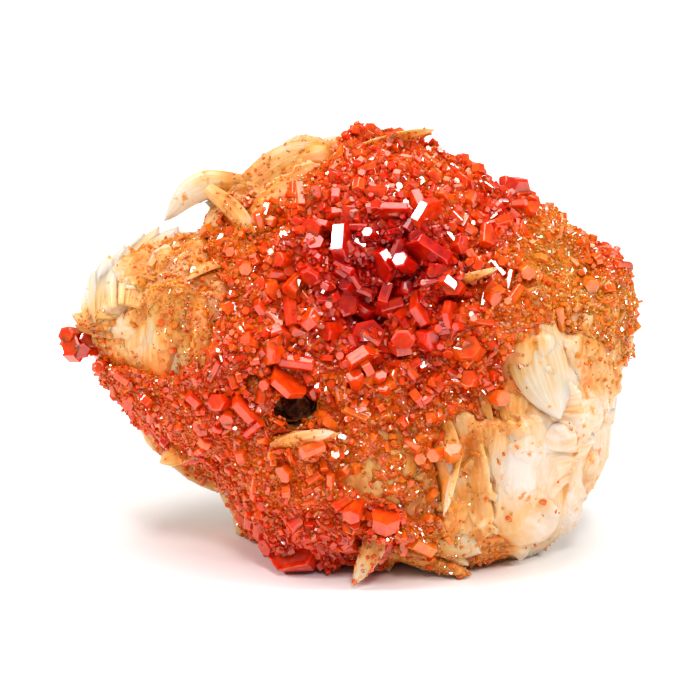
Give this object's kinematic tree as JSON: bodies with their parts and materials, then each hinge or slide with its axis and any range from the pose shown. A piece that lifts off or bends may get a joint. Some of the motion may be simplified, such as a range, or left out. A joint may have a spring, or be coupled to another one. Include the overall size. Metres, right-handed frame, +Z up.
{
  "type": "vanadinite on matrix",
  "caption": "Hand-sized mineral specimen: red six-sided vanadinite crystals crusting a broken lump of cream bladed baryte, resting on a flat cleavage face.",
  "frame": {"origin": "on the flat cleavage face that the specimen rests on, below the middle of the lump", "axes": "+Z up from the table, +X to the right along the specimen's longest extent, -Y towards a viewer of the crystal-covered show face"},
  "size_m": [0.0759, 0.0464, 0.0555],
  "materials": {
    "baryte": "satin, bladed, cream to tan",
    "vanadinite": "adamantine, translucent red to orange"
  },
  "bodies": {
    "root": {"baryte_matrix": "baryte", "vanadinite_crust": "vanadinite", "vanadinite_left_tip": "vanadinite"}
  },
  "joints": []
}
